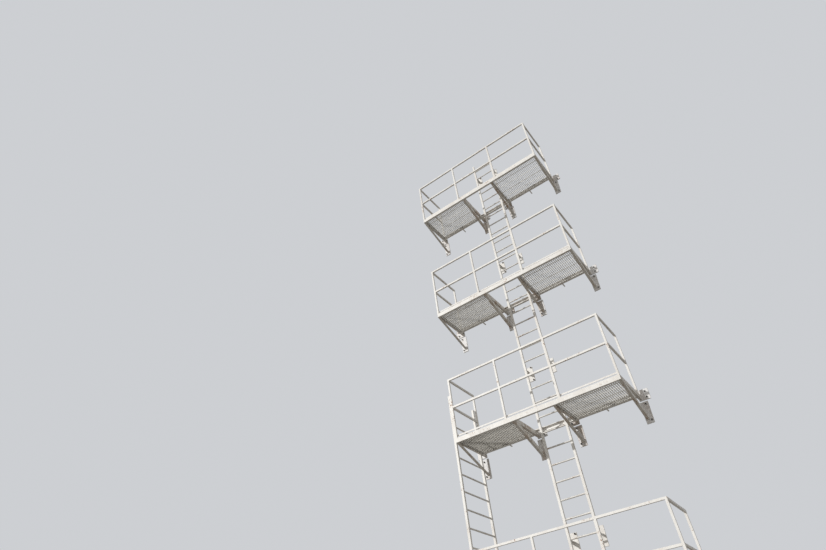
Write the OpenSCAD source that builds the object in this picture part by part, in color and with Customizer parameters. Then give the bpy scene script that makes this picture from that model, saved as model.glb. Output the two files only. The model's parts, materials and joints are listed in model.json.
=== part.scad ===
// Wall fire escape of painted steel: four platforms on brackets, one above the other,
// a long ladder through the middle of all four, and a second ladder from the ground up
// the left end to the second platform. Millimetres: x right along the wall, y into it, z up.

/* [View] */
// Which piece is drawn

/* [Platforms] */
// Length of each platform along the wall
platform_w = 2952; // [2500:2:3500]
// Depth of each platform, from its front face to the wall
platform_d = 952; // [800:2:1150]
// Clear width of the ladder opening in the middle
opening_w = 696; // [620:2:860]
// Underside of the lowest platform above the ground
level_1 = 2550; // [2300:10:3200]
// Underside of the second platform above the ground
level_2 = 5470; // [5100:10:5800]
// Underside of the third platform above the ground
level_3 = 8125; // [7800:5:8500]
// Underside of the top platform above the ground
level_4 = 10890; // [10500:10:11500]

/* [Frame sections] */
// Height of the front channel, the bracket beams and the rear beams
channel_h = 80; // [72:1:110]
// Width of the front channel's flanges
channel_flange = 45; // [42:1:60]
// Width of a bracket beam's flanges, and of the strut's lower leg
beam_flange = 45; // [42:1:60]
// Thickness of the channels' webs
web_t = 6; // [5:0.5:9]
// Thickness of the channels' flanges
flange_t = 8; // [6:0.5:10]
// Depth of the strut's upright leg
strut_leg = 65; // [54:1:80]
// Thickness of the strut's legs and of the ladder brackets' arms
angle_t = 6; // [5:0.5:8]
// Width of the rear beams' flanges
rear_flange = 45; // [38:1:60]
// Space between the rear beams' webs and the wall
rear_gap = 125; // [100:1:140]

/* [Wall plates] */
// Thickness of every wall plate
plate_t = 20; // [8:0.5:25]
// Width of an upper wall plate
upper_plate_w = 182; // [160:2:220]
// Height of an upper wall plate
upper_plate_h = 178; // [160:2:220]
// Width of a lower wall plate at its top edge
lower_plate_w = 136; // [130:2:160]
// How much narrower a lower wall plate is at its foot
lower_plate_taper = 18; // [8:1:24]
// Height of a lower wall plate
lower_plate_h = 352; // [330:2:400]
// Height of the strut between the beam and the strut's foot
strut_drop = 345; // [300:1:380]
// Radius of a wall bolt's hole
hole_r = 9; // [7:0.5:11]
// Distance between an upper plate's two holes
upper_hole_gap = 92; // [70:2:110]
// Distance between a lower plate's two holes
lower_hole_gap = 266; // [220:2:286]

/* [Railing] */
// Side of the square tube of the posts and rails
rail_side = 32; // [28:1:40]
// Wall of that tube
rail_wall = 3; // [2:0.5:4]
// Middle of the top rail above the platform's underside
top_rail_z = 1202; // [1050:2:1400]
// Middle of the middle rail above the platform's underside
mid_rail_z = 654; // [520:2:780]
// Space between the rear posts and the wall
rear_post_gap = 74; // [50:1:90]

/* [Floor] */
// Depth of the grating's bearing bars
grate_h = 40; // [25:1:46]
// Thickness of the grating's bars
grate_bar = 3; // [3:0.5:5]
// Spacing of the bearing bars
grate_pitch = 34; // [28:1:60]
// Spacing of the cross bars
grate_cross = 155; // [120:5:250]
// Depth of the cross bars between the panel's front and back edges
cross_h = 12; // [8:1:20]
// Thickness of the toe board
toe_t = 6; // [4:0.5:8]
// Height of the toe board
toe_h = 25; // [20:1:40]
// Open space between the front channel and the toe board
toe_gap = 36; // [20:1:50]

/* [Ladders] */
// Side of the square tube of the stringers
stringer = 40; // [36:1:46]
// Wall of that tube
stringer_wall = 3; // [2:0.5:5]
// Spacing of the rungs
rung_pitch = 280; // [240:2:340]
// Height of the long ladder's lowest rung above the ground
first_rung = 400; // [260:10:460]
// Radius of a rung
rung_r = 13.5; // [11:0.5:16]
// Middle to middle of the long ladder's stringers
ladder_w = 464; // [380:2:500]
// Top of the long ladder's stringers above the top platform's underside
ladder_rise = 1765; // [1500:5:2000]
// Top of the end ladder's stringers above the second platform's underside
end_ladder_rise = 890; // [700:10:1000]
// Space between the end ladder's inner stringer and the wall
end_ladder_gap = 115; // [90:1:130]
// Width of a ladder bracket's wall plate
ladder_plate_w = 110; // [100:2:130]
// Height of a ladder bracket's wall plate
ladder_plate_h = 290; // [280:2:340]
// Distance between that plate's two holes
ladder_hole_gap = 254; // [210:2:256]
// Leg of a ladder bracket's arm
arm_leg = 40; // [34:1:46]

/* [Hidden] */
$fn = 48;
slack = 1;
white = [0.87, 0.86, 0.83];
plate_grey = [0.74, 0.74, 0.75];
zinc = [0.62, 0.64, 0.65];
level = [0, level_1, level_2, level_3, level_4];

// Wall plates, their holes measured out from the beam's web.
upper_plate_below = 20;
upper_plate_middle = upper_plate_h / 2 - upper_plate_below;
upper_plate_edge = beam_flange - upper_plate_w;
upper_hole_out = 82;
lower_plate_top = -45;
lower_plate_foot = lower_plate_top - lower_plate_h;
lower_plate_in = 20;
lower_plate_inner = beam_flange + lower_plate_in;
lower_plate_edge = lower_plate_inner - lower_plate_w;
lower_hole_out = 28;
lower_hole_down = 40;

// The origin is the middle of the back of the lowest platform's left upper wall plate.
home_x = beam_flange - upper_plate_w / 2;
home_z = level_1 + upper_plate_middle;

front_y = -platform_d;
beam_front = front_y + channel_flange;
opening_x = (platform_w - opening_w) / 2;
rear_web = -rear_gap - web_t;
rear_front = -rear_gap - rear_flange;
spacer_r = 12;
spacer_z = 25;

post_gap = (platform_w - rail_side) / 3;
post_top = top_rail_z - rail_side / 2;
post_l = post_top - channel_h;
post_back = front_y + rail_side;
rear_post_y = -rear_post_gap - rail_side;
mid_rail_low = mid_rail_z - rail_side / 2;

grate_gap = 2;
grate_side = web_t + grate_gap;
grate_w = opening_x - 2 * grate_side;
grate_d = rear_web - front_y - grate_side - grate_gap;

ladder_x = platform_w / 2;
ladder_front = rear_front - stringer;
ladder_top = level_4 + ladder_rise;
ladder_rungs = floor((ladder_top - stringer / 2 - first_rung) / rung_pitch);
rung_l = ladder_w - stringer;
ladder_plate_out = 40;
ladder_hole_x = 45;
bracket_rise = 1184;
low_bracket_z = 1400;
top_bracket_rise = 1300;
ladder_bracket_z = [low_bracket_z, level_1 + bracket_rise, level_2 + bracket_rise,
    level_3 + bracket_rise, level_4 + top_bracket_rise];

end_inner_y = -end_ladder_gap - stringer;
last_rung_rise = 318;
last_rung_z = level_2 + last_rung_rise;
end_rungs = floor(last_rung_z / rung_pitch);
end_rung_l = end_inner_y - front_y - stringer;
end_bracket_z = [low_bracket_z, level_1 + bracket_rise];

// Moves what is drawn from the platform's left end, the wall and the ground to the origin.
module placed() translate([-home_x, 0, -home_z]) children();

module at_level(number) placed() translate([0, 0, level[number]]) children();

// Draws a piece for the left half, and its mirror image for the right half.
module both_halves() {
    children();
    translate([platform_w, 0, 0]) mirror([1, 0, 0]) children();
}

// A profile drawn in y and z, run along x.
module along_x(length) rotate([90, 0, 90]) linear_extrude(length) children();

// A profile drawn in x and z, run back towards the front from y = 0.
module along_y(length) rotate([90, 0, 0]) linear_extrude(length) children();

// Channel with its web upright at the left and its flanges to the right.
module channel_profile(flange)
    difference() {
        square([flange, channel_h]);
        translate([web_t, flange_t]) square([flange, channel_h - 2 * flange_t]);
    }

module tube_profile(side, wall)
    difference() {
        square(side);
        translate([wall, wall]) square(side - 2 * wall);
    }

// Front channel, with its web as the platform's white front face.
module front_channel()
    color(white) along_x(platform_w) translate([front_y, 0]) channel_profile(channel_flange);

// Toe board, a flat bar across the backs of the posts, a little above the front channel.
module toe_board()
    color(white) translate([0, post_back, channel_h + toe_gap]) cube([platform_w, toe_t, toe_h]);

// Bolt hole through a wall plate.
module wall_hole(x, z)
    translate([x, slack, z]) along_y(plate_t + 2 * slack) circle(hole_r);

// Upper wall plate, from behind the beam out past its web, with two holes in a line.
module upper_plate() difference() {
    translate([upper_plate_edge, -plate_t, -upper_plate_below])
        cube([upper_plate_w, plate_t, upper_plate_h]);
    for (side = [-1, 1])
        wall_hole(-upper_hole_out, upper_plate_middle + side * upper_hole_gap / 2);
}

// Lower wall plate, narrower at its foot, with two holes beside the strut.
module lower_plate() difference() {
    along_y(plate_t) polygon([[lower_plate_inner, lower_plate_top],
        [lower_plate_edge, lower_plate_top], [lower_plate_edge + lower_plate_taper, lower_plate_foot],
        [lower_plate_inner, lower_plate_foot]]);
    for (down = [lower_hole_down, lower_hole_down + lower_hole_gap])
        wall_hole(-lower_hole_out, lower_plate_top - down);
}

// Side view of the strut between two of its long edges, cut level under the beam and
// upright at the wall plate. The distances are measured square to its length.
module strut_side(low, high, width) {
    run = -front_y - plate_t;
    slope = strut_drop / run;
    lift = sqrt(1 + slope * slope);
    rotate([90, 0, 90]) linear_extrude(width) polygon([
        [front_y + low * lift / slope, 0], [-plate_t, -strut_drop + low * lift],
        [-plate_t, -strut_drop + high * lift], [front_y + high * lift / slope, 0]]);
}

// One welded bracket: channel beam with its web at x = 0, angle strut and two wall plates.
module bracket() {
    color(white) {
        translate([0, -plate_t, 0]) along_y(-plate_t - beam_front) channel_profile(beam_flange);
        strut_side(0, strut_leg, angle_t);
        strut_side(0, angle_t, beam_flange);
    }
    color(plate_grey) {
        upper_plate();
        lower_plate();
    }
}

// Brackets at the platform's two ends, their wall plates standing out past the end.
module end_brackets() both_halves() bracket();

// Brackets at the two sides of the ladder opening, their webs and wall plates towards it.
module inner_brackets()
    both_halves() translate([opening_x, 0, 0]) mirror([1, 0, 0]) bracket();

// Channel along the back of one bay, its web to the wall and its flanges to the front.
module rear_beam(from, length)
    translate([from, -rear_gap, 0]) along_x(length) mirror([1, 0]) channel_profile(rear_flange);

// Rear beam of a floor bay, with a round spacer at its middle between its web and the wall.
module floor_beam(from, length) {
    rear_beam(from, length);
    translate([from + length / 2, 0, spacer_z]) along_y(rear_gap + web_t / 2) circle(spacer_r);
}

// The middle beam, across the ladder opening, also holds the ladder.
module rear_beams() color(white) {
    both_halves() floor_beam(beam_flange, opening_x - 2 * beam_flange);
    rear_beam(opening_x, opening_w);
}

// Grating panel: bearing bars from front to back between two edge bars, crossed at their
// top by a few lower bars.
module grating_panel() {
    bars = floor((grate_w - grate_bar) / grate_pitch);
    rows = max(2, round((grate_d - grate_bar) / grate_cross));
    row_gap = (grate_d - grate_bar) / rows;
    linear_extrude(grate_h) union() {
        for (i = [0 : bars]) translate([i * (grate_w - grate_bar) / bars, 0])
            square([grate_bar, grate_d]);
        for (j = [0, rows]) translate([0, j * row_gap]) square([grate_w, grate_bar]);
    }
    for (j = [1 : rows - 1]) translate([0, j * row_gap, grate_h - cross_h])
        cube([grate_w, grate_bar, cross_h]);
}

// Two panels, lying on the lower flanges of the front channel, the bracket beams and the
// rear beams.
module gratings() color(zinc) both_halves()
    translate([grate_side, front_y + grate_side, flange_t]) grating_panel();

// Four posts on the front channel, and one on each end beam close to the wall.
module posts() color(white) {
    for (i = [0 : 3]) translate([i * post_gap, front_y, channel_h])
        linear_extrude(post_l) tube_profile(rail_side, rail_wall);
    both_halves() translate([0, rear_post_y, channel_h])
        linear_extrude(post_l) tube_profile(rail_side, rail_wall);
}

// Top rail over the front posts, and middle rails between them.
module front_rails() color(white) {
    translate([0, front_y, post_top]) along_x(platform_w) tube_profile(rail_side, rail_wall);
    for (i = [0 : 2]) translate([i * post_gap + rail_side, front_y, mid_rail_low])
        along_x(post_gap - rail_side) tube_profile(rail_side, rail_wall);
}

// Top and middle rails at both ends, back to the rear posts.
module end_rails() color(white) both_halves() {
    translate([0, -rear_post_gap, post_top])
        along_y(-rear_post_gap - post_back) tube_profile(rail_side, rail_wall);
    translate([0, rear_post_y, mid_rail_low])
        along_y(rear_post_y - post_back) tube_profile(rail_side, rail_wall);
}

// Stringer from the ground up, open at its foot and closed at its top.
module ladder_stringer(top) difference() {
    cube([stringer, stringer, top]);
    translate([stringer_wall, stringer_wall, -slack])
        cube([stringer - 2 * stringer_wall, stringer - 2 * stringer_wall,
            top - stringer_wall + slack]);
}

module centre_ladder_stringers() color(white) placed()
    for (side = [-1, 1])
        translate([ladder_x + side * ladder_w / 2 - stringer / 2, ladder_front, 0])
            ladder_stringer(ladder_top);

// Round rungs between the stringers.
module centre_ladder_rungs() color(white) placed()
    for (i = [0 : ladder_rungs])
        translate([ladder_x - rung_l / 2, ladder_front + stringer / 2, first_rung + i * rung_pitch])
            along_x(rung_l) circle(rung_r);

// Ladder bracket: an angle arm from the stringer's back to a wall plate, which reaches
// further to one side and has its two holes there.
module ladder_bracket(reach) {
    color(white) translate([0, -plate_t, 0]) along_y(reach - plate_t) union() {
        translate([-arm_leg / 2, -arm_leg / 2]) square([angle_t, arm_leg]);
        translate([-arm_leg / 2, arm_leg / 2 - angle_t]) square([arm_leg, angle_t]);
    }
    color(plate_grey) difference() {
        translate([-ladder_plate_out, -plate_t, -ladder_plate_h / 2])
            cube([ladder_plate_w, plate_t, ladder_plate_h]);
        for (side = [-1, 1]) wall_hole(ladder_hole_x, side * ladder_hole_gap / 2);
    }
}

module centre_ladder_brackets() placed()
    for (z = ladder_bracket_z, side = [-1, 1])
        translate([ladder_x + side * ladder_w / 2, 0, z])
            mirror([max(0, side), 0, 0]) ladder_bracket(-rear_front);

// The end ladder stands against the platforms' left ends, its rungs running to the wall.
module end_ladder_stringers() color(white) placed()
    for (y = [front_y, end_inner_y])
        translate([-stringer, y, 0]) ladder_stringer(level_2 + end_ladder_rise);

module end_ladder_rungs() color(white) placed()
    for (i = [0 : end_rungs - 1])
        translate([-stringer / 2, end_inner_y, last_rung_z - i * rung_pitch])
            along_y(end_rung_l) circle(rung_r);

module end_ladder_brackets() placed()
    for (z = end_bracket_z)
        translate([-stringer / 2, 0, z]) mirror([1, 0, 0]) ladder_bracket(end_ladder_gap);

module front_channel_1() at_level(1) front_channel();
module toe_board_1() at_level(1) toe_board();
module end_brackets_1() at_level(1) end_brackets();
module inner_brackets_1() at_level(1) inner_brackets();
module rear_beams_1() at_level(1) rear_beams();
module gratings_1() at_level(1) gratings();
module posts_1() at_level(1) posts();
module front_rails_1() at_level(1) front_rails();
module end_rails_1() at_level(1) end_rails();

module front_channel_2() at_level(2) front_channel();
module toe_board_2() at_level(2) toe_board();
module end_brackets_2() at_level(2) end_brackets();
module inner_brackets_2() at_level(2) inner_brackets();
module rear_beams_2() at_level(2) rear_beams();
module gratings_2() at_level(2) gratings();
module posts_2() at_level(2) posts();
module front_rails_2() at_level(2) front_rails();
module end_rails_2() at_level(2) end_rails();

module front_channel_3() at_level(3) front_channel();
module toe_board_3() at_level(3) toe_board();
module end_brackets_3() at_level(3) end_brackets();
module inner_brackets_3() at_level(3) inner_brackets();
module rear_beams_3() at_level(3) rear_beams();
module gratings_3() at_level(3) gratings();
module posts_3() at_level(3) posts();
module front_rails_3() at_level(3) front_rails();
module end_rails_3() at_level(3) end_rails();

module front_channel_4() at_level(4) front_channel();
module toe_board_4() at_level(4) toe_board();
module end_brackets_4() at_level(4) end_brackets();
module inner_brackets_4() at_level(4) inner_brackets();
module rear_beams_4() at_level(4) rear_beams();
module gratings_4() at_level(4) gratings();
module posts_4() at_level(4) posts();
module front_rails_4() at_level(4) front_rails();
module end_rails_4() at_level(4) end_rails();

front_channel_1();
toe_board_1();
end_brackets_1();
inner_brackets_1();
rear_beams_1();
gratings_1();
posts_1();
front_rails_1();
end_rails_1();
front_channel_2();
toe_board_2();
end_brackets_2();
inner_brackets_2();
rear_beams_2();
gratings_2();
posts_2();
front_rails_2();
end_rails_2();
front_channel_3();
toe_board_3();
end_brackets_3();
inner_brackets_3();
rear_beams_3();
gratings_3();
posts_3();
front_rails_3();
end_rails_3();
front_channel_4();
toe_board_4();
end_brackets_4();
inner_brackets_4();
rear_beams_4();
gratings_4();
posts_4();
front_rails_4();
end_rails_4();
centre_ladder_stringers();
centre_ladder_rungs();
centre_ladder_brackets();
end_ladder_stringers();
end_ladder_rungs();
end_ladder_brackets();
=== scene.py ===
# Looks of the wall fire escape: paint, zinc, welds, anchors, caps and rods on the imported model.
# All lengths are metres in the model's own frame: x right along the wall, y into it, z up.
import json
import math

import bmesh
import bpy
from mathutils import Matrix, Vector


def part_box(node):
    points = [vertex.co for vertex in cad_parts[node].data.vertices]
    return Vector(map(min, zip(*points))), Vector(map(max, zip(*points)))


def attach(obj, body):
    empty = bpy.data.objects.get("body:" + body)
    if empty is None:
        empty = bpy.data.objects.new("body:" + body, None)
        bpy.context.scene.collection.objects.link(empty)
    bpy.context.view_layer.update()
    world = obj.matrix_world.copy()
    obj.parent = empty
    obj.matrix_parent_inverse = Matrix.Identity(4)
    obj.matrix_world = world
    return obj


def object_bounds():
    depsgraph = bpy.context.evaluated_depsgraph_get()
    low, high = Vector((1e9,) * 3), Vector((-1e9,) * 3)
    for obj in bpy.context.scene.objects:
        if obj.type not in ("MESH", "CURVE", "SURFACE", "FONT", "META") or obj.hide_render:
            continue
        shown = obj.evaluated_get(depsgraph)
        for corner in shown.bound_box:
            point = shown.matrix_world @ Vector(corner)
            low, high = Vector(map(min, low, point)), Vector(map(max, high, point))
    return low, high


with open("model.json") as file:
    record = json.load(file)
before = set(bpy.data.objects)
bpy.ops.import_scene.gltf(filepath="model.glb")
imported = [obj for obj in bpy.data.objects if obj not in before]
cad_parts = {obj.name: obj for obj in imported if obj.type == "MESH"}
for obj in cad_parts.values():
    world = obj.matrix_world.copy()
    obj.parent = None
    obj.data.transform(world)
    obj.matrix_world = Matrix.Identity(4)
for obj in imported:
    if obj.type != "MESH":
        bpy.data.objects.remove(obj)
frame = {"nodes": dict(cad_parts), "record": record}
cad_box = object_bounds()

# Wall brackets: channel beams with slanting angle struts, welded to thick wall plates in the
# workshop and painted off-white. The plates' paint is a cooler grey, and rust has run down
# them from the bolts and out of the joints.
LEVELS = (1, 2, 3, 4)
PLATE_THICKNESS = 0.020
PLATE_FACE = -PLATE_THICKNESS
RUST_DARK = (0.15, 0.050, 0.016, 1)
RUST_LIGHT = (0.40, 0.18, 0.07, 1)
RUST_STAIN = (0.34, 0.215, 0.115, 1)
RELIEF_DEPTH = 0.0005
RELIEF_STRENGTH = 0.8


def add_node(tree, kind, sockets=None, **settings):
    node = tree.nodes.new("ShaderNode" + kind)
    for name, value in settings.items():
        setattr(node, name, value)
    for name, value in (sockets or {}).items():
        if isinstance(value, bpy.types.NodeSocket):
            tree.links.new(value, node.inputs[name])
        else:
            node.inputs[name].default_value = value
    return node


def new_group(name, inputs, outputs):
    tree = bpy.data.node_groups.new(name, "ShaderNodeTree")
    for label, kind, value in inputs:
        socket = tree.interface.new_socket(name=label, in_out="INPUT", socket_type="NodeSocket" + kind)
        socket.default_value = value
    for label, kind in outputs:
        tree.interface.new_socket(name=label, in_out="OUTPUT", socket_type="NodeSocket" + kind)
    return tree, tree.nodes.new("NodeGroupInput").outputs, tree.nodes.new("NodeGroupOutput").inputs


def limits(tree, value, low, high):
    """A mask that rises from 0 to 1 as the value goes from low to high."""
    node = add_node(tree, "MapRange", {"Value": value, "From Min": low, "From Max": high})
    node.interpolation_type = "SMOOTHSTEP"
    return node.outputs["Result"]


def times(tree, first, second):
    return add_node(tree, "Math", {0: first, 1: second}, operation="MULTIPLY").outputs[0]


def plus(tree, first, second):
    return add_node(tree, "Math", {0: first, 1: second}, operation="ADD", use_clamp=True).outputs[0]


def mixed(tree, mask, first, second):
    """The first colour where the mask is 0, and the second where it is 1."""
    node = add_node(tree, "Mix", data_type="RGBA")
    # The node has sockets of the same names for plain values, so these go by their numbers.
    sockets = (node.inputs[0], node.inputs[6], node.inputs[7])
    for socket, value in zip(sockets, (mask, first, second)):
        if isinstance(value, bpy.types.NodeSocket):
            tree.links.new(value, socket)
        else:
            socket.default_value = value
    return node.outputs[2]


def place_of(tree):
    return tree.nodes.new("ShaderNodeTexCoord").outputs["Object"]


def noise(tree, scale, detail, stretch=(1, 1, 1)):
    """Noise on Object coordinates, finer along an axis where its stretch is larger."""
    scaled = add_node(tree, "Mapping", {"Vector": place_of(tree), "Scale": stretch}).outputs[0]
    return add_node(tree, "TexNoise", {"Vector": scaled, "Scale": scale, "Detail": detail}).outputs["Fac"]


def weathering_with_shade():
    """Old paint outdoors: faint patches, rain streaks, dust on top, painted shade on downward faces,
    stains, rust.
    """
    tree, given, made = new_group(
        "weathered_paint",
        [("Paint", "Color", (0.8, 0.8, 0.8, 1)), ("Dirt", "Color", (0.3, 0.27, 0.22, 1)),
         ("Dirt amount", "Float", 0.5), ("Stain amount", "Float", 0.1), ("Rust amount", "Float", 0.3)],
        [("Colour", "Color"), ("Roughness", "Float"), ("Height", "Float")])
    patches = limits(tree, noise(tree, 3.2, 7.0), 0.45, 0.80)
    streaks = limits(tree, noise(tree, 1.0, 5.0, (42.0, 42.0, 1.3)), 0.50, 0.82)
    specks = limits(tree, noise(tree, 90.0, 5.0), 0.62, 0.78)
    normal = add_node(tree, "SeparateXYZ", {0: tree.nodes.new("ShaderNodeNewGeometry").outputs["Normal"]})
    # Downward faces are darkened here as painted shade, not as soiling.
    shaded_underside = limits(tree, normal.outputs["Z"], -0.1, -0.9)
    top = limits(tree, normal.outputs["Z"], 0.6, 1.0)
    top_dust_and_underside_shade = plus(tree, times(tree, shaded_underside, 0.55), times(tree, top, 0.30))
    dirt_and_shade = plus(tree, plus(tree, times(tree, patches, 0.35), times(tree, streaks, 0.45)),
                plus(tree, top_dust_and_underside_shade, times(tree, specks, 0.40)))
    dirt_and_shade = times(tree, dirt_and_shade, given["Dirt amount"])
    where = limits(tree, noise(tree, 4.0, 3.0), 0.53, 0.66)
    chips = plus(tree, noise(tree, 52.0, 8.0), times(tree, given["Rust amount"], 0.12))
    bare = times(tree, where, limits(tree, chips, 0.66, 0.69))
    halo = times(tree, where, limits(tree, chips, 0.59, 0.68))
    runs = times(tree, limits(tree, noise(tree, 1.0, 4.0, (60.0, 60.0, 5.0)), 0.52, 0.75), where)
    rust = plus(tree, bare, times(tree, times(tree, runs, 0.40), given["Rust amount"]))
    rust_tone = mixed(tree, noise(tree, 160.0, 3.0), RUST_DARK, RUST_LIGHT)
    stain = limits(tree, noise(tree, 1.0, 6.0, (8.0, 8.0, 2.2)), 0.46, 0.60)
    stain = plus(tree, times(tree, stain, given["Stain amount"]), times(tree, halo, 0.45))
    colour = mixed(tree, dirt_and_shade, given["Paint"], given["Dirt"])
    colour = mixed(tree, stain, colour, RUST_STAIN)
    tree.links.new(mixed(tree, rust, colour, rust_tone), made["Colour"])
    rough = add_node(tree, "MapRange", {"Value": plus(tree, dirt_and_shade, rust), "To Min": 0.50, "To Max": 0.88})
    tree.links.new(rough.outputs["Result"], made["Roughness"])
    peel = times(tree, noise(tree, 240.0, 2.0), 0.30)
    tree.links.new(plus(tree, peel, times(tree, bare, 0.6)), made["Height"])
    return tree


WEATHERED_PAINT_WITH_SHADE = weathering_with_shade()


def surface(name, group, values, metallic=0.0):
    """A finish whose colour, roughness and height come from a group with these values."""
    material = bpy.data.materials.new(name)
    material.use_nodes = True
    tree = material.node_tree
    shader = tree.nodes["Principled BSDF"]
    shader.inputs["Metallic"].default_value = metallic
    node = tree.nodes.new("ShaderNodeGroup")
    node.name = "finish"
    node.node_tree = group
    for label, value in values.items():
        node.inputs[label].default_value = value
    relief = add_node(tree, "Bump", {
        "Height": node.outputs["Height"], "Distance": RELIEF_DEPTH, "Strength": RELIEF_STRENGTH})
    tree.links.new(node.outputs["Colour"], shader.inputs["Base Color"])
    tree.links.new(node.outputs["Roughness"], shader.inputs["Roughness"])
    tree.links.new(relief.outputs["Normal"], shader.inputs["Normal"])
    return material


def wear(node, material):
    """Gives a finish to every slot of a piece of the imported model."""
    target = frame["nodes"][node]
    if not target.data.materials:
        target.data.materials.append(material)
    for slot in target.material_slots:
        slot.material = material


BEAM_WHITE = (0.78, 0.765, 0.735, 1)
PLATE_GREY = (0.76, 0.76, 0.77, 1)
# This colour also serves as painted shade on downward faces.
BRACKET_GRIME_AND_SHADE = (0.23, 0.19, 0.15, 1)
GREY_STARTS = 0.0008
GREY_FULL = 0.0002


def bracket_paint(name, dirt_amount, stain_amount, rust_amount):
    """Off-white on the beams and struts, cooler and greyer on the wall plates."""
    material = surface(name, WEATHERED_PAINT_WITH_SHADE, {
        "Dirt": BRACKET_GRIME_AND_SHADE, "Dirt amount": dirt_amount, "Stain amount": stain_amount,
        "Rust amount": rust_amount})
    tree = material.node_tree
    y = add_node(tree, "SeparateXYZ", {0: place_of(tree)}).outputs["Y"]
    on_plate = limits(tree, y, PLATE_FACE - GREY_STARTS, PLATE_FACE - GREY_FULL)
    tree.links.new(mixed(tree, on_plate, BEAM_WHITE, PLATE_GREY), tree.nodes["finish"].inputs["Paint"])
    return material


BRACKET_PAINT = bracket_paint("bracket_paint", 0.42, 0.18, 0.70)
STAINED_PAINT = bracket_paint("stained_bracket_paint", 0.50, 0.42, 1.0)
for n in LEVELS:
    wear(f"end_brackets_{n}", BRACKET_PAINT)
    wear(f"inner_brackets_{n}", STAINED_PAINT)

# Bracket welds: fillet beads run by hand where the beams and struts meet the wall plates, where
# the struts meet the beams, and where the beams meet the front channel, then painted over.
LEVEL_Z = {n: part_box(f"front_channel_{n}")[0].z for n in LEVELS}
CHANNEL_LOW, CHANNEL_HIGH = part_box("front_channel_1")
CHANNEL_HEIGHT = CHANNEL_HIGH.z - CHANNEL_LOW.z
FLANGE = CHANNEL_HIGH.y - CHANNEL_LOW.y
SMOOTH_BELOW = math.radians(35)
QUARTER_TURN = math.pi / 2
BEAD_LENGTH = 0.045
BEAD_RADIUS = 0.0036
BEAD_SIDES = 6
BEAD_RIPPLES = 14
BEAD_VALLEY = 0.76
BEAD_TIP = 0.55
BEAD_END_GAP = 0.003
WEB_GAP = 0.002
STRUT_DROP = 0.345
STRUT_LEG_AT_PLATE = 0.069
STRUT_CUT = 0.187


def select_only(piece):
    bpy.ops.object.select_all(action="DESELECT")
    piece.select_set(True)
    bpy.context.view_layer.objects.active = piece


def edit(piece):
    select_only(piece)
    bpy.ops.object.mode_set(mode="EDIT")


def done():
    bpy.ops.object.mode_set(mode="OBJECT")


def choose(kind, test):
    """Selects the faces, edges or vertices of the piece in edit mode that pass the test."""
    bpy.ops.mesh.select_mode(type={"faces": "FACE", "edges": "EDGE", "verts": "VERT"}[kind])
    bpy.ops.mesh.select_all(action="DESELECT")
    mesh = bmesh.from_edit_mesh(bpy.context.object.data)
    for item in getattr(mesh, kind):
        item.select_set(test(item))
    mesh.select_flush_mode()
    bmesh.update_edit_mesh(bpy.context.object.data)


def primitive(kind, name, **sizes):
    """A new primitive with its place and turn in its mesh, and its object at the origin."""
    bpy.ops.object.select_all(action="DESELECT")
    getattr(bpy.ops.mesh, f"primitive_{kind}_add")(**sizes)
    piece = bpy.context.object
    piece.name = name
    bpy.ops.object.transform_apply(location=True, rotation=True, scale=True)
    return piece


def joined(name, parts):
    bpy.ops.object.select_all(action="DESELECT")
    for part in parts:
        part.select_set(True)
    bpy.context.view_layer.objects.active = parts[0]
    bpy.ops.object.join()
    parts[0].name = name
    return parts[0]


def copies(source, name, places):
    """One piece from a copy of the source at each place, with the source itself taken away."""
    made = []
    for place in places:
        copy = source.copy()
        copy.data = source.data.copy()
        copy.data.transform(place if isinstance(place, Matrix) else Matrix.Translation(place))
        bpy.context.scene.collection.objects.link(copy)
        made.append(copy)
    bpy.data.objects.remove(source)
    return joined(name, made)


def fit_piece(piece, material):
    """Gives a new piece its finish and lets it ride on the stair."""
    piece.data.materials.clear()
    piece.data.materials.append(material)
    select_only(piece)
    bpy.ops.object.shade_smooth_by_angle(angle=SMOOTH_BELOW)
    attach(piece, "root")


def weld_bead():
    """A bead along x round the origin, its ripples like a row of coins."""
    bead = primitive("cylinder", "bead", vertices=BEAD_SIDES, radius=BEAD_RADIUS, depth=BEAD_LENGTH,
                     rotation=(0, QUARTER_TURN, 0))
    edit(bead)
    choose("edges", lambda edge: abs(edge.verts[0].co.x - edge.verts[1].co.x) > BEAD_LENGTH / 2)
    bpy.ops.mesh.subdivide(number_cuts=BEAD_RIPPLES - 1)
    choose("verts", lambda vert: round((vert.co.x / BEAD_LENGTH + 0.5) * BEAD_RIPPLES) % 2 == 0)
    bpy.ops.transform.resize(value=(1, BEAD_VALLEY, BEAD_VALLEY))
    choose("verts", lambda vert: abs(vert.co.x) > BEAD_LENGTH * 0.49)
    bpy.ops.transform.resize(value=(1, BEAD_TIP, BEAD_TIP))
    done()
    return bead


def laid(start, end):
    """Where a bead goes so that it runs from start to end."""
    start, end = Vector(start), Vector(end)
    turn = Vector((1, 0, 0)).rotation_difference(end - start).to_matrix().to_4x4()
    stretch = Matrix.Diagonal(((end - start).length / BEAD_LENGTH, 1, 1, 1))
    return Matrix.Translation((start + end) / 2) @ turn @ stretch


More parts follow.
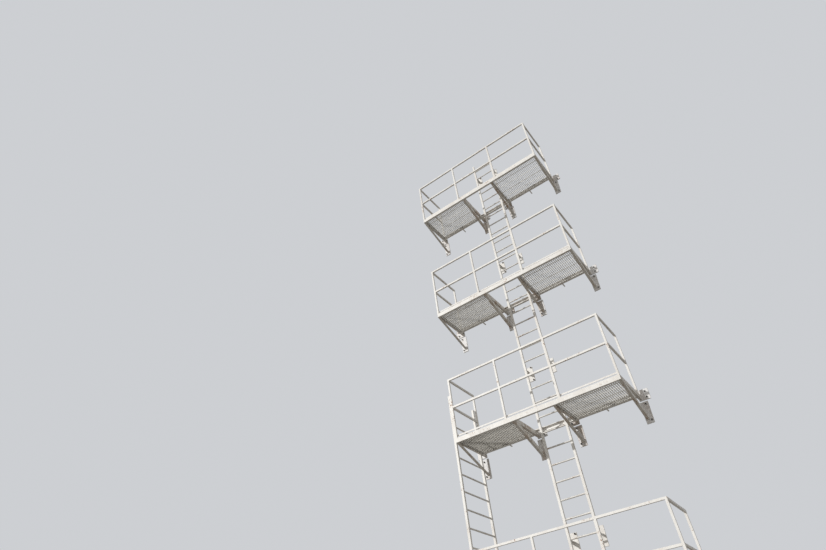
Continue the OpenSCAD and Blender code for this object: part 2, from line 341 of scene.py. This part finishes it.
INNER_LOW, INNER_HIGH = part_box("inner_brackets_1")
PLATE_PAST_FLANGE = 0.020
INNER_WEB = INNER_LOW.x + FLANGE + PLATE_PAST_FLANGE
MIDDLE_X = (INNER_LOW.x + INNER_HIGH.x) / 2
WEBS = ((CHANNEL_LOW.x, 1), (INNER_WEB, -1), (2 * MIDDLE_X - INNER_WEB, 1), (CHANNEL_HIGH.x, -1))
for n in LEVELS:
    places = []
    z = LEVEL_Z[n]
    top = z + CHANNEL_HEIGHT
    foot = z - STRUT_DROP
    for web, side in WEBS:
        tip = web + side * FLANGE
        near = web + side * WEB_GAP
        places += [
            laid((web, PLATE_FACE, z + BEAD_END_GAP), (web, PLATE_FACE, top - BEAD_END_GAP)),
            laid((near, PLATE_FACE, z), (tip, PLATE_FACE, z)),
            laid((near, PLATE_FACE, top), (tip, PLATE_FACE, top)),
            laid((web, PLATE_FACE, foot + BEAD_END_GAP), (web, PLATE_FACE, foot + STRUT_LEG_AT_PLATE)),
            laid((near, PLATE_FACE, foot), (tip, PLATE_FACE, foot)),
            laid((web, CHANNEL_HIGH.y, z), (web, CHANNEL_LOW.y + STRUT_CUT, z)),
            laid((near, CHANNEL_HIGH.y, z), (tip, CHANNEL_HIGH.y, z))]
    fit_piece(copies(weld_bead(), f"bracket_welds_{n}", places), BRACKET_PAINT)


# Wall anchors: galvanised M16 rods set in the wall, each with a washer and a nut drawn up on
# the plate. The nuts and rods have gone nearly black, and all of them rust a little.
WASHER_THICKNESS = 0.003
WASHER_RADIUS = 0.019
WASHER_BEVEL = 0.001
NUT_HEIGHT = 0.011
NUT_RADIUS = 0.0139
COLLAR_INSET = 0.0015
COLLAR_HEIGHT = 0.0012
ROD_RADIUS = 0.0077
ROD_END = 0.012
END_CHAMFER = 0.0012
WASHER_COLOUR_STARTS = 0.0006
WASHER_COLOUR_FULL = 0.0002
BLACK_ZINC = ((0.13, 0.125, 0.12, 1), (0.05, 0.048, 0.045, 1))
WASHER_ZINC = ((0.62, 0.62, 0.61, 1), (0.42, 0.42, 0.41, 1))
ZINC_RUST = (0.24, 0.10, 0.035, 1)


def zinc_coat():
    """Hot-dip zinc gone dull: a mosaic of crystals under a grey bloom, rust coming through."""
    tree, given, made = new_group(
        "dull_zinc",
        [("Light", "Color", (0.5, 0.5, 0.5, 1)), ("Dark", "Color", (0.3, 0.3, 0.3, 1)),
         ("Rust amount", "Float", 0.2)],
        [("Colour", "Color"), ("Roughness", "Float"), ("Height", "Float")])
    crystal = add_node(tree, "TexVoronoi", {"Vector": place_of(tree), "Scale": 85.0})
    tone = add_node(tree, "SeparateColor", {0: crystal.outputs["Color"]}).outputs[0]
    bloom = limits(tree, noise(tree, 4.0, 6.0), 0.40, 0.70)
    mask = plus(tree, times(tree, tone, 0.40), times(tree, bloom, 0.50))
    zinc = mixed(tree, mask, given["Light"], given["Dark"])
    spots = times(tree, limits(tree, noise(tree, 30.0, 8.0), 0.60, 0.70), given["Rust amount"])
    tree.links.new(mixed(tree, spots, zinc, ZINC_RUST), made["Colour"])
    rough = add_node(tree, "MapRange", {"Value": mask, "To Min": 0.40, "To Max": 0.68})
    tree.links.new(rough.outputs["Result"], made["Roughness"])
    tree.links.new(times(tree, tone, 0.4), made["Height"])
    return tree


DULL_ZINC = zinc_coat()


def anchor_zinc():
    """Nuts and rods gone nearly black, on washers that are still light."""
    material = surface("anchor_zinc", DULL_ZINC, {"Rust amount": 0.6}, metallic=0.30)
    tree = material.node_tree
    y = add_node(tree, "SeparateXYZ", {0: place_of(tree)}).outputs["Y"]
    washer_face = PLATE_FACE - WASHER_THICKNESS
    washer = limits(tree, y, washer_face - WASHER_COLOUR_STARTS, washer_face - WASHER_COLOUR_FULL)
    for label, black, light in zip(("Light", "Dark"), BLACK_ZINC, WASHER_ZINC):
        tree.links.new(mixed(tree, washer, black, light), tree.nodes["finish"].inputs[label])
    return material


ANCHOR_ZINC = anchor_zinc()
MOUNTS = {mount["name"]: mount for mount in frame["record"]["mounts"]}


def anchor_bolt():
    """Washer, nut with a low collar and the end of its rod, standing on a plate at y = 0."""
    washer = primitive("cylinder", "washer", vertices=20, radius=WASHER_RADIUS, depth=WASHER_THICKNESS,
                       location=(0, -WASHER_THICKNESS / 2, 0), rotation=(QUARTER_TURN, 0, 0))
    edit(washer)
    choose("edges", lambda edge: all(vert.co.y < -WASHER_THICKNESS / 2 for vert in edge.verts))
    bpy.ops.mesh.bevel(offset=WASHER_BEVEL, segments=1)
    done()
    nut_middle = WASHER_THICKNESS + NUT_HEIGHT / 2
    nut = primitive("cylinder", "nut", vertices=6, radius=NUT_RADIUS, depth=NUT_HEIGHT,
                    location=(0, -nut_middle, 0), rotation=(QUARTER_TURN, 0, 0))
    edit(nut)
    choose("faces", lambda face: face.normal.y < -0.9)
    bpy.ops.mesh.inset(thickness=COLLAR_INSET)
    bpy.ops.mesh.inset(thickness=0, depth=COLLAR_HEIGHT)
    done()
    rod_middle = WASHER_THICKNESS + NUT_HEIGHT + ROD_END / 2
    rod = primitive("cylinder", "rod", vertices=12, radius=ROD_RADIUS, depth=ROD_END,
                    location=(0, -rod_middle, 0), rotation=(QUARTER_TURN, 0, 0))
    edit(rod)
    choose("faces", lambda face: face.normal.y < -0.9)
    bpy.ops.mesh.inset(thickness=END_CHAMFER)
    bpy.ops.transform.translate(value=(0, -END_CHAMFER, 0))
    done()
    return joined("anchor", [washer, nut, rod])


def bolt_pair(mount, lift):
    """Where the two anchors of a bolt pattern stand on the plate, lifted to another bracket."""
    x, _, z = mount["pos_m"]
    spacing = mount["dims"]["spacing_y_mm"] / 1000
    return [Vector((x, PLATE_FACE, z + lift + side * spacing / 2)) for side in (-1, 1)]


for n in LEVELS:
    places = []
    for name, mount in MOUNTS.items():
        if mount["kind"] == "bolt_pattern" and name.endswith("_1"):
            places += bolt_pair(mount, LEVEL_Z[n] - LEVEL_Z[1])
    fit_piece(copies(anchor_bolt(), f"bracket_anchors_{n}", places), ANCHOR_ZINC)

# Platform frames: a front channel, a toe board on the backs of the posts and a rear channel,
# with spacers to the wall, all welded and painted off-white. They are cleaner than the brackets,
# and the shade painted on their downward faces is lighter.
FRAME_WHITE = (0.80, 0.79, 0.772, 1)
FRAME_PAINT = surface("frame_paint", WEATHERED_PAINT_WITH_SHADE, {
    "Paint": FRAME_WHITE, "Dirt": (0.26, 0.22, 0.175, 1), "Dirt amount": 0.34, "Rust amount": 0.35})
for n in LEVELS:
    for part in ("front_channel", "toe_board", "rear_beams"):
        wear(f"{part}_{n}", FRAME_PAINT)

# Floor gratings: panels of thin bearing bars, hot-dip galvanised and left unpainted, lying
# loose on the frame's lower flanges. Thin twisted rods are pressed into the top of the bars.
BAR_SHADE_HEIGHT = 0.014
ROD_SIDE = 0.0050
ROD_SPACING = 0.076
ROD_TURN = 0.12
ROD_CUTS = 36
ROD_SUNK = 0.0004
PANEL_GAP = 0.008
PANEL_WIDTH = INNER_WEB - CHANNEL_LOW.x - 2 * PANEL_GAP


def grating_zinc(level):
    """Pale zinc, trodden grey on top, and painted shade darkening the lower edges of the bars."""
    material = surface(f"grating_zinc_{level}", DULL_ZINC, {"Rust amount": 0.22})
    tree = material.node_tree
    finish = tree.nodes["finish"]
    z = add_node(tree, "SeparateXYZ", {0: place_of(tree)}).outputs["Z"]
    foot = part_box(f"gratings_{level}")[0].z
    # Painted shade: the lowest part of every bar is darkened as if it were in shadow.
    bar_bottom_shade = limits(tree, z, foot + BAR_SHADE_HEIGHT, foot + BAR_SHADE_HEIGHT / 3)
    normal = add_node(tree, "SeparateXYZ", {0: tree.nodes.new("ShaderNodeNewGeometry").outputs["Normal"]})
    trodden = limits(tree, normal.outputs["Z"], 0.5, 0.9)
    for label, pale, shaded, worn in (
            ("Light", (0.94, 0.93, 0.905, 1), (0.22, 0.205, 0.18, 1), (0.46, 0.46, 0.45, 1)),
            ("Dark", (0.85, 0.84, 0.81, 1), (0.13, 0.12, 0.105, 1), (0.30, 0.295, 0.28, 1))):
        sides = mixed(tree, bar_bottom_shade, pale, shaded)
        tree.links.new(mixed(tree, trodden, sides, worn), finish.inputs[label])
    return material


def twisted_rod(length):
    """A square rod along x round the origin, with a full turn every ROD_TURN of its length."""
    rod = primitive("cube", "rod", size=1.0)
    edit(rod)
    bpy.ops.mesh.select_all(action="SELECT")
    bpy.ops.transform.resize(value=(length, ROD_SIDE, ROD_SIDE))
    choose("edges", lambda edge: abs(edge.verts[0].co.x - edge.verts[1].co.x) > length / 2)
    bpy.ops.mesh.subdivide(number_cuts=ROD_CUTS)
    done()
    twist = rod.modifiers.new("twist", "SIMPLE_DEFORM")
    twist.deform_method = "TWIST"
    twist.deform_axis = "X"
    twist.angle = math.radians(360 * length / ROD_TURN)
    bpy.ops.object.modifier_apply(modifier="twist")
    return rod


for n in LEVELS:
    zinc = grating_zinc(n)
    wear(f"gratings_{n}", zinc)
    low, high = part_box(f"gratings_{n}")
    depth = high.y - low.y - ROD_SPACING
    rows = round(depth / ROD_SPACING)
    places = []
    for row in range(rows + 1):
        y = low.y + ROD_SPACING / 2 + row * depth / rows
        for x in (low.x + PANEL_WIDTH / 2, high.x - PANEL_WIDTH / 2):
            places.append((x, y, high.z - ROD_SIDE / 2 - ROD_SUNK))
    fit_piece(copies(twisted_rod(PANEL_WIDTH), f"grating_rods_{n}", places), zinc)

# Railings: posts and rails of square tube, welded together and to the frame, and painted
# off-white, a shade lighter than the frames.
# This colour also serves as painted shade on downward faces.
RAIL_GRIME_AND_SHADE = (0.27, 0.23, 0.185, 1)
RAIL_PAINT = surface("rail_paint", WEATHERED_PAINT_WITH_SHADE, {
    "Paint": (0.81, 0.80, 0.782, 1), "Dirt": RAIL_GRIME_AND_SHADE, "Dirt amount": 0.32, "Rust amount": 0.40})
for n in LEVELS:
    for part in ("posts", "front_rails", "end_rails"):
        wear(f"{part}_{n}", RAIL_PAINT)

# Rail caps: thin plates welded over the open ends of the top rails, so that no rain gets into
# the tubes, their edges ground round.
RAIL_LOW, RAIL_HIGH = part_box("front_rails_1")
REAR_LOW, REAR_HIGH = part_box("end_rails_1")
TUBE = RAIL_HIGH.y - RAIL_LOW.y
FRONT_POST_Y = RAIL_LOW.y + TUBE / 2
CAP_THICKNESS = 0.0025
CAP_MARGIN = 0.0003
CAP_SIDE = TUBE - 2 * CAP_MARGIN
CAP_ROUND = 0.0012


def rail_cap():
    """A cap in the y-z plane, its back at x = 0 and its rounded face towards -x."""
    cap = primitive("cube", "cap", size=1.0)
    edit(cap)
    bpy.ops.mesh.select_all(action="SELECT")
    bpy.ops.transform.resize(value=(CAP_THICKNESS, CAP_SIDE, CAP_SIDE))
    bpy.ops.transform.translate(value=(-CAP_THICKNESS / 2, 0, 0))
    choose("edges", lambda edge: all(vert.co.x < -CAP_THICKNESS / 2 for vert in edge.verts))
    bpy.ops.mesh.bevel(offset=CAP_ROUND, segments=2)
    done()
    return cap


to_right = Matrix.Rotation(math.pi, 4, "Z")
to_wall = Matrix.Rotation(-QUARTER_TURN, 4, "Z")
for n in LEVELS:
    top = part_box(f"front_rails_{n}")[1].z - TUBE / 2
    places = [Matrix.Translation((RAIL_LOW.x, FRONT_POST_Y, top)),
              Matrix.Translation((RAIL_HIGH.x, FRONT_POST_Y, top)) @ to_right]
    for x in (REAR_LOW.x + TUBE / 2, REAR_HIGH.x - TUBE / 2):
        places.append(Matrix.Translation((x, REAR_HIGH.y, top)) @ to_wall)
    fit_piece(copies(rail_cap(), f"rail_caps_{n}", places), RAIL_PAINT)

# Railing welds: a bead on each open side of every tube joint, run by hand and painted over.
# Along the front of each platform, the side that faces out is ground flush and has none.
JOINT_INSET = 0.002
AXES = {"x": Vector((1, 0, 0)), "y": Vector((0, 1, 0)), "z": Vector((0, 0, 1))}


def tube_joint(middle, run, bare_front=False):
    """Beads round the end of a square tube that runs along one axis and ends at middle."""
    beads = []
    others = [axis for name, axis in AXES.items() if name != run]
    for out, along in (others, others[::-1]):
        for side in (-1, 1):
            if bare_front and out.y and side < 0:
                continue
            edge = Vector(middle) + out * side * TUBE / 2
            reach = along * (TUBE / 2 - JOINT_INSET)
            beads.append(laid(edge - reach, edge + reach))
    return beads


POST_SPACING = (RAIL_HIGH.x - RAIL_LOW.x - TUBE) / 3
REAR_POST_Y = REAR_HIGH.y - TUBE / 2
posts = [RAIL_LOW.x + TUBE / 2 + i * POST_SPACING for i in range(4)]
for n in LEVELS:
    foot = LEVEL_Z[n] + CHANNEL_HEIGHT
    rails_low, rails_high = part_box(f"front_rails_{n}")
    under_rail = rails_high.z - TUBE
    middle_rail = rails_low.z + TUBE / 2
    places = []
    for x in posts:
        places += tube_joint((x, FRONT_POST_Y, foot), "z", bare_front=True)
        places += tube_joint((x, FRONT_POST_Y, under_rail), "z", bare_front=True)
    for left, right in zip(posts, posts[1:]):
        places += tube_joint((left + TUBE / 2, FRONT_POST_Y, middle_rail), "x", bare_front=True)
        places += tube_joint((right - TUBE / 2, FRONT_POST_Y, middle_rail), "x", bare_front=True)
    for x in (posts[0], posts[3]):
        places += tube_joint((x, REAR_POST_Y, foot), "z")
        places += tube_joint((x, REAR_POST_Y, under_rail), "z")
        places += tube_joint((x, FRONT_POST_Y + TUBE / 2, under_rail + TUBE / 2), "y")
        places += tube_joint((x, FRONT_POST_Y + TUBE / 2, middle_rail), "y")
        places += tube_joint((x, REAR_POST_Y - TUBE / 2, middle_rail), "y")
    fit_piece(copies(weld_bead(), f"rail_welds_{n}", places), RAIL_PAINT)

# Ladders: stringers of square tube from the ground up, with brackets back to the wall, painted
# like the frames. Feet and hands have worn the paint of the rungs at their middle.
WEAR_STARTS = 0.17
WEAR_FULL = 0.06
WORN_STEEL = (0.34, 0.33, 0.32, 1)
LADDER_PAINT = surface("ladder_paint", WEATHERED_PAINT_WITH_SHADE, {
    "Paint": FRAME_WHITE, "Dirt": RAIL_GRIME_AND_SHADE, "Dirt amount": 0.36, "Rust amount": 0.45})
for part in ("stringers", "brackets"):
    wear(f"centre_ladder_{part}", LADDER_PAINT)
    wear(f"end_ladder_{part}", LADDER_PAINT)


def rung_paint(name, along, middle):
    """Ladder paint, worn to grey steel on top of the rungs round the middle of their length."""
    material = surface(name, WEATHERED_PAINT_WITH_SHADE, {
        "Paint": (0.78, 0.77, 0.75, 1), "Dirt": RAIL_GRIME_AND_SHADE, "Dirt amount": 0.45, "Rust amount": 0.55})
    tree = material.node_tree
    where = add_node(tree, "SeparateXYZ", {0: place_of(tree)}).outputs[along]
    off = add_node(tree, "Math", {0: where, 1: middle}, operation="SUBTRACT").outputs[0]
    away = add_node(tree, "Math", {0: off}, operation="ABSOLUTE").outputs[0]
    normal = add_node(tree, "SeparateXYZ", {0: tree.nodes.new("ShaderNodeNewGeometry").outputs["Normal"]})
    top = limits(tree, normal.outputs["Z"], 0.1, 0.8)
    uneven = limits(tree, noise(tree, 38.0, 6.0), 0.40, 0.56)
    worn = times(tree, times(tree, limits(tree, away, WEAR_STARTS, WEAR_FULL), uneven), top)
    tree.links.new(mixed(tree, worn, tree.nodes["finish"].outputs["Colour"], WORN_STEEL),
                   tree.nodes["Principled BSDF"].inputs["Base Color"])
    return material


RUNGS = {"centre_ladder": "x", "end_ladder": "y"}
for ladder, run in RUNGS.items():
    low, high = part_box(f"{ladder}_rungs")
    middle = (low + high) / 2
    paint = rung_paint(f"{ladder}_rung_paint", run.upper(), middle["xyz".index(run)])
    wear(f"{ladder}_rungs", paint)

# Rung welds: a ring of weld round each end of every rung, where it meets the stringer, its
# ripples left as they cooled and painted over.
RUNG_RADIUS = 0.0135
RUNG_PITCH = 0.280
RING_STEPS = 16
RING_SIDES = 5
RING_BEAD = 0.0030
RING_LIFT = 0.0006
RING_VALLEY = 0.94
RING_VALLEY_WIDTH = 0.75
TURN_TO = {"x": (0, QUARTER_TURN, 0), "y": (QUARTER_TURN, 0, 0)}


def weld_ring(run):
    """A rippled ring round the origin, for a rung that runs along x or y."""
    ring = primitive("torus", "ring", major_segments=RING_STEPS, minor_segments=RING_SIDES,
                     major_radius=RUNG_RADIUS + RING_LIFT, minor_radius=RING_BEAD, rotation=TURN_TO[run])
    edit(ring)
    along = "xyz".index(run)
    across = 1 - along

    def in_valley(vert):
        angle = math.atan2(vert.co.z, vert.co[across])
        return round(angle / (2 * math.pi) * RING_STEPS) % 2 == 1

    choose("verts", in_valley)
    size = [RING_VALLEY] * 3
    size[along] = RING_VALLEY_WIDTH
    bpy.ops.transform.resize(value=size)
    done()
    return ring


for ladder, run in RUNGS.items():
    low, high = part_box(f"{ladder}_rungs")
    middle = (low + high) / 2
    count = round((high.z - low.z - 2 * RUNG_RADIUS) / RUNG_PITCH) + 1
    axis = "xyz".index(run)
    places = []
    for i in range(count):
        for end in (low[axis], high[axis]):
            spot = Vector((middle.x, middle.y, low.z + RUNG_RADIUS + i * RUNG_PITCH))
            spot[axis] = end
            places.append(spot)
    fit_piece(copies(weld_ring(run), f"{ladder}_welds", places), LADDER_PAINT)

# Ladder anchors: two of the same M16 anchors in each bracket's wall plate, one above the other
# beside its arm. They stand on every plate as they do above the second platform.
LOW_BRACKET_HEIGHT = 1.400
TOP_BRACKET_RISE = 1.300
END_PAIR_OUT = 0.045
GROUND_Z = cad_box[0].z
left_pair = MOUNTS["centre_ladder_bolts_left_2"]
right_pair = MOUNTS["centre_ladder_bolts_right_2"]
pair_rise = left_pair["pos_m"][2] - LEVEL_Z[2]
bracket_z = [GROUND_Z + LOW_BRACKET_HEIGHT]
bracket_z += [LEVEL_Z[n] + pair_rise for n in (1, 2, 3)]
bracket_z += [LEVEL_Z[4] + TOP_BRACKET_RISE]
places = []
for z in bracket_z:
    for pair in (left_pair, right_pair):
        places += bolt_pair(pair, z - pair["pos_m"][2])
end_low, end_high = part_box("end_ladder_stringers")
end_x = (end_low.x + end_high.x) / 2 - END_PAIR_OUT
for z in bracket_z[:2]:
    for spot in bolt_pair(left_pair, z - left_pair["pos_m"][2]):
        spot.x = end_x
        places.append(spot)
fit_piece(copies(anchor_bolt(), "ladder_anchors", places), ANCHOR_ZINC)

# Studio: a pale floor at ground level, an even pale sky, a sharp lamp from the upper left front
# and a soft, weaker one from the front right, a little below. Floor and sky look paler to the
# camera than the light that they throw on the stair.
CAMERA_PLACE = Vector((4.5559, -8.6506, -0.9305))
CAMERA_TURN = 0.5746
CAMERA_UP = 0.7082
CAMERA_ROLL = -0.1173
LENS = 23.607
SENSOR = 36.0
FAR_CLIP = 500
LAMP_TRAVEL = Vector((0.7494, 1.0, -0.6398))
LAMP_STRENGTH = 2.75
LAMP_SPREAD = math.radians(1.2)
LAMP_TINT = (1.0, 0.985, 0.955)
FILL_TRAVEL = Vector((-0.35, 1.0, 0.10))
FILL_STRENGTH = 0.55
FILL_SPREAD = math.radians(70)
FILL_TINT = (1.0, 0.97, 0.93)
LAMP_DISTANCE = 12
FLOOR_SIZE = 300
FLOOR_LIGHT = (0.27, 0.255, 0.23, 1)
FLOOR_SEEN = (0.73, 0.735, 0.74, 1)
SKY_LIGHT = (0.375, 0.365, 0.345, 1)
SKY_SEEN = (0.61, 0.625, 0.65, 1)

ground = primitive("plane", "floor", size=FLOOR_SIZE, location=(0, 0, GROUND_Z))
edit(ground)
bpy.ops.mesh.select_all(action="SELECT")
bpy.ops.mesh.subdivide(number_cuts=2)
done()


def seen_rays(tree):
    """1 for rays that show a thing to the camera, straight or by a reflection, else 0."""
    rays = tree.nodes.new("ShaderNodeLightPath").outputs
    return plus(tree, plus(tree, rays["Is Camera Ray"], rays["Is Glossy Ray"]), rays["Is Transmission Ray"])


floor_material = bpy.data.materials.new("studio_floor")
floor_material.use_nodes = True
tree = floor_material.node_tree
shader = tree.nodes["Principled BSDF"]
tree.links.new(mixed(tree, seen_rays(tree), FLOOR_LIGHT, FLOOR_SEEN), shader.inputs["Base Color"])
shader.inputs["Roughness"].default_value = 0.9
ground.data.materials.append(floor_material)

world = bpy.data.worlds.new("studio_world")
bpy.context.scene.world = world
world.use_nodes = True
tree = world.node_tree
tree.links.new(mixed(tree, seen_rays(tree), SKY_LIGHT, SKY_SEEN), tree.nodes["Background"].inputs["Color"])

for strength, spread, tint, travel in (
        (LAMP_STRENGTH, LAMP_SPREAD, LAMP_TINT, LAMP_TRAVEL),
        (FILL_STRENGTH, FILL_SPREAD, FILL_TINT, FILL_TRAVEL)):
    bpy.ops.object.light_add(type="SUN", location=-LAMP_DISTANCE * travel)
    lamp = bpy.context.object
    lamp.data.energy = strength
    lamp.data.angle = spread
    lamp.data.color = tint
    lamp.rotation_euler = travel.to_track_quat("-Z", "Y").to_euler()

forward = Vector((-math.sin(CAMERA_TURN) * math.cos(CAMERA_UP),
                  math.cos(CAMERA_TURN) * math.cos(CAMERA_UP), math.sin(CAMERA_UP)))
level_right = Vector((math.cos(CAMERA_TURN), math.sin(CAMERA_TURN), 0))
level_up = level_right.cross(forward)
right = math.cos(CAMERA_ROLL) * level_right + math.sin(CAMERA_ROLL) * level_up
up = math.cos(CAMERA_ROLL) * level_up - math.sin(CAMERA_ROLL) * level_right
bpy.ops.object.camera_add()
camera = bpy.context.object
camera.data.lens = LENS
camera.data.sensor_width = SENSOR
camera.data.clip_end = FAR_CLIP
camera.matrix_world = (Matrix.Translation(CAMERA_PLACE)
                       @ Matrix((right, up, -forward)).transposed().to_4x4())
bpy.context.scene.camera = camera
bpy.context.scene.view_settings.view_transform = "Standard"
